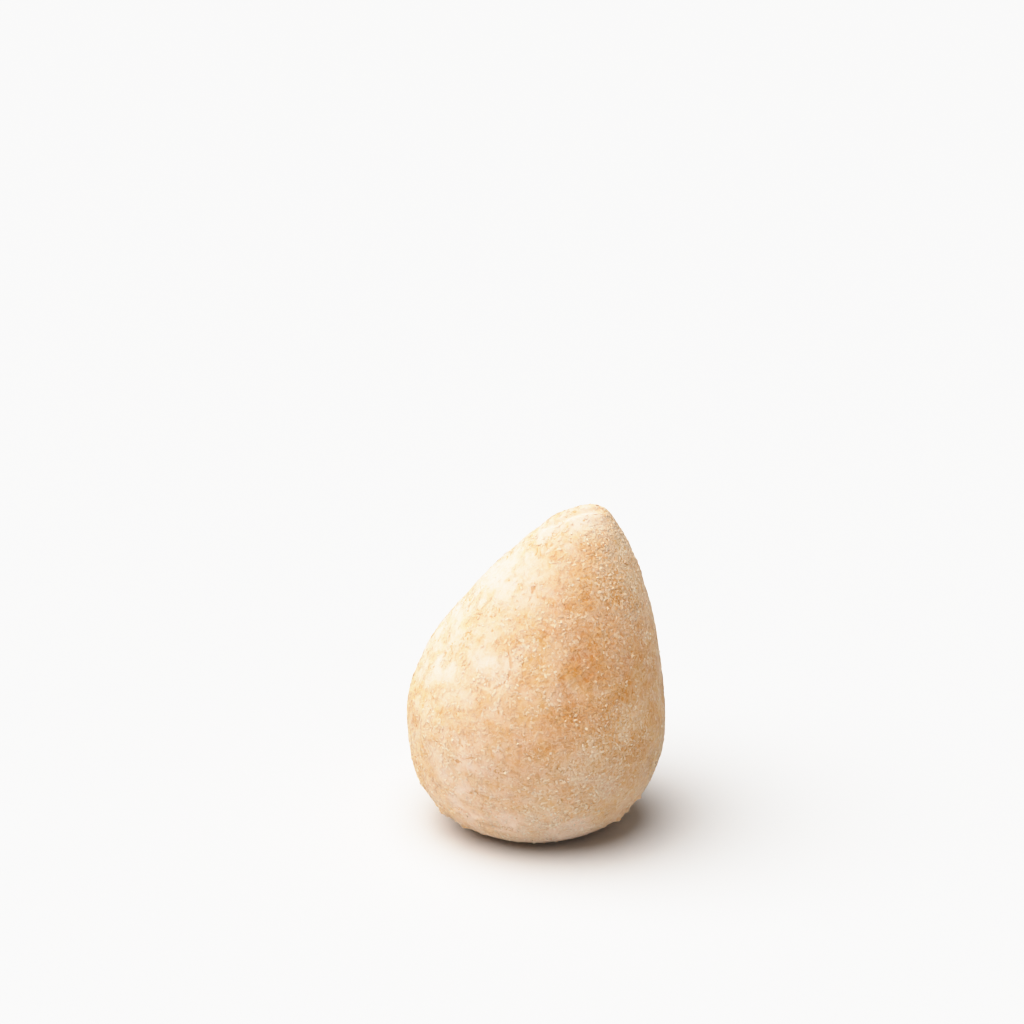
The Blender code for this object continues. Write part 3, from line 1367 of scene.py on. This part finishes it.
def crumb_layers() -> tuple[CrumbLayer, ...]:
    """Lists the kinds of small pieces, from the darkest to the whitest.

    Returns:
        The layers, in the order in which they are built.
    """
    toasted = CrumbFinish("toasted_crumb", (0.74, 0.42, 0.17), (0.82, 0.54, 0.28), 1.0, 0.95, 0.88)
    tan = CrumbFinish("tan_curl", (0.79, 0.49, 0.24), (0.85, 0.58, 0.34), 0.9, 0.95, 0.86)
    pale = CrumbFinish("pale_curl", (0.84, 0.58, 0.34), (0.89, 0.69, 0.47), 0.8, 0.95, 0.82)
    white = CrumbFinish("white_curl", (0.88, 0.66, 0.43), (0.925, 0.77, 0.58), 0.5, 0.95, 0.74)
    frost = CrumbFinish("frost_grain", (0.89, 0.70, 0.49), (0.94, 0.82, 0.65), 0.3, 0.6, 0.6)
    curls: dict[str, Any] = {"shape": CrumbShape.CURL, "tilt": 0.06}
    # The darker crumbs gather with the toasting, and so also where shade is painted on the right side
    toast_and_painted_shade = PatchKind.TOAST_AND_PAINTED_SHADE
    return (
        CrumbLayer(
            "toasted_crumbs", shape=CrumbShape.CHIP, size=0.6 * MM, spacing=1.3 * MM, finish=toasted,
            seed=11, sink=0.22, follows=toast_and_painted_shade, fewest=0.15,
        ),
        CrumbLayer(
            "tan_curls", **curls, size=1.1 * MM, spacing=1.1 * MM, finish=tan,
            seed=23, scales=(0.7, 1.3), sink=0.01, follows=toast_and_painted_shade, fewest=0.12,
        ),
        CrumbLayer(
            "pale_curls", **curls, size=0.92 * MM, spacing=0.74 * MM, finish=pale,
            seed=37, scales=(0.6, 1.4), sink=0.01, fewest=0.45,
        ),
        CrumbLayer(
            "white_curls", **curls, size=0.82 * MM, spacing=0.7 * MM, finish=white,
            seed=53, scales=(0.6, 1.4), sink=0.0, fewest=0.06,
        ),
        CrumbLayer(
            "frost_grains", shape=CrumbShape.GRAIN, size=0.6 * MM, spacing=0.85 * MM, finish=frost,
            seed=41, scales=(0.5, 1.7), sink=0.04, fewest=0.03,
        ),
    )


@dataclass(frozen=True)
class SoftLight:
    """One broad soft light from far away: where it is and how wide, in degrees, and how strong."""

    name: str
    side: float
    height: float
    breadth: float
    strength: float
    colour: Colour = (1.0, 1.0, 1.0)

    def build(self) -> None:
        """Sets the light up, turned by its side angle from the camera and raised by its height angle."""
        lamp = bpy.data.lights.new(self.name, "SUN")
        lamp.angle = math.radians(self.breadth)
        lamp.energy = self.strength
        lamp.color = self.colour
        light = bpy.data.objects.new(self.name, lamp)
        bpy.context.scene.collection.objects.link(light)
        light.rotation_euler = Euler((math.radians(90.0 - self.height), 0.0, math.radians(self.side)))


@dataclass
class Studio:
    """A plain pale floor, soft light and the camera."""

    floor_side: float = 12.0
    floor_colour: Colour = (0.76, 0.757, 0.75)
    floor_roughness: float = 0.8
    floor_gloss: float = 0.2
    surroundings: float = 0.13
    backdrop: float = 1.15
    camera_place: Place = (-5.625 * MM, -774.05 * MM, 358.57 * MM)
    camera_pitch: float = 20.0
    lens: float = 125.9
    sensor: float = 36.0
    clips: tuple[float, float] = (0.05, 20.0)
    # What a brightness becomes: as it is up to the middle, then less and less, as film shows highlights
    white_point: float = 2.0
    shoulder: tuple[tuple[float, float], ...] = (
        (0.6, 0.6), (0.8, 0.78), (1.0, 0.9), (1.2, 0.96), (1.5, 0.99),
    )
    lights: tuple[SoftLight, ...] = (
        SoftLight("key", side=-79.0, height=70.0, breadth=75.0, strength=4.75),
    )

    def build(self) -> None:
        """Sets up the floor, the light and the camera."""
        self.lay_floor()
        self.light_surroundings()
        for light in self.lights:
            light.build()
        self.place_camera()
        self.set_tone()

    def lay_floor(self) -> None:
        """Lays the floor under the croquette."""
        deselect_all()
        bpy.ops.mesh.primitive_plane_add(size=self.floor_side)
        floor = bpy.context.object
        floor.name = "floor"
        material, _, shader = new_material("pale_floor")
        shader.inputs["Base Color"].default_value = with_alpha(self.floor_colour)
        shader.inputs["Roughness"].default_value = self.floor_roughness
        shader.inputs["Specular IOR Level"].default_value = self.floor_gloss
        floor.data.materials.append(material)

    def light_surroundings(self) -> None:
        """Fills the room with even white light, and shows a white backdrop to the camera."""
        world = bpy.data.worlds.new("studio")
        world.use_nodes = True
        bpy.context.scene.world = world
        bench = NodeBench(world.node_tree)
        background = world.node_tree.nodes["Background"]
        background.inputs["Color"].default_value = (1.0, 1.0, 1.0, 1.0)
        seen = bench.add("ShaderNodeLightPath").outputs["Is Camera Ray"]
        strength = bench.math("MULTIPLY_ADD", seen, self.backdrop - self.surroundings, self.surroundings)
        bench.tree.links.new(strength, background.inputs["Strength"])

    def place_camera(self) -> None:
        """Puts the camera where the photograph was taken from."""
        data = bpy.data.cameras.new("camera")
        data.lens = self.lens
        data.sensor_width = self.sensor
        data.clip_start, data.clip_end = self.clips
        camera = bpy.data.objects.new("camera", data)
        bpy.context.scene.collection.objects.link(camera)
        camera.location = self.camera_place
        camera.rotation_euler = Euler((math.radians(90.0 - self.camera_pitch), 0.0, 0.0))
        bpy.context.scene.camera = camera

    def set_tone(self) -> None:
        """Shows the colours as they are, with a soft shoulder in the brightest ones."""
        view = bpy.context.scene.view_settings
        view.view_transform = "Standard"
        view.look = "None"
        view.use_curve_mapping = True
        mapping = view.curve_mapping
        mapping.white_level = (self.white_point,) * 3
        curve = mapping.curves[3]
        for bright, shown in self.shoulder:
            curve.points.new(bright / self.white_point, shown)
        mapping.update()


def main() -> None:
    """Builds the croquette, what lies on it and the studio, in that order."""
    logging.basicConfig(level=logging.INFO, format="%(name)s: %(message)s")
    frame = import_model()
    coat = DoughBody(frame["nodes"][NODE]).build()
    LOG.info("%s: %d triangles", coat.name, triangles(coat))
    for layer in crumb_layers():
        piece = layer.build(coat)
        LOG.info("%s: %d triangles", piece.name, triangles(piece))
    Studio().build()


if __name__ == "__main__":
    main()
